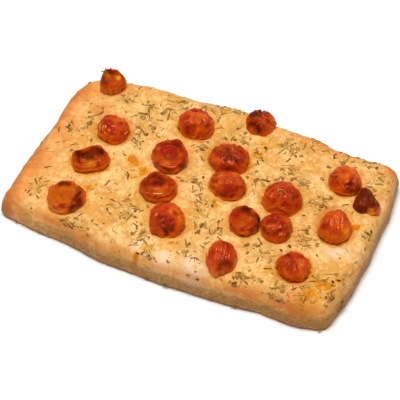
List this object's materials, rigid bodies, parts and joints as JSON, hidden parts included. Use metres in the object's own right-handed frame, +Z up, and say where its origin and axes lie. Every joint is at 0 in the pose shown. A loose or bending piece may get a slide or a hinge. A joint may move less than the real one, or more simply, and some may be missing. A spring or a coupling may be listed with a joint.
{
  "type": "focaccia",
  "caption": "Baked rectangular focaccia slab with halved cherry tomatoes roasted into its golden crust, dried rosemary and thyme scattered over the top",
  "frame": {"origin": "Middle of the flat underside, on the surface that the slab lies on.", "axes": "+X runs along the long side to the right, +Y to the back and +Z up, with the crust facing up."},
  "size_m": [0.2509, 0.155, 0.0388],
  "materials": {
    "crust": "matte",
    "roast_tomato": "glossy"
  },
  "bodies": {
    "root": {"bread": "crust", "tomato_01": "roast_tomato", "tomato_02": "roast_tomato", "tomato_03": "roast_tomato", "tomato_04": "roast_tomato", "tomato_05": "roast_tomato", "tomato_06": "roast_tomato", "tomato_07": "roast_tomato", "tomato_08": "roast_tomato", "tomato_09": "roast_tomato", "tomato_10": "roast_tomato", "tomato_11": "roast_tomato", "tomato_12": "roast_tomato", "tomato_13": "roast_tomato", "tomato_14": "roast_tomato", "tomato_15": "roast_tomato", "tomato_16": "roast_tomato", "tomato_17": "roast_tomato", "tomato_18": "roast_tomato", "tomato_19": "roast_tomato"}
  },
  "joints": []
}
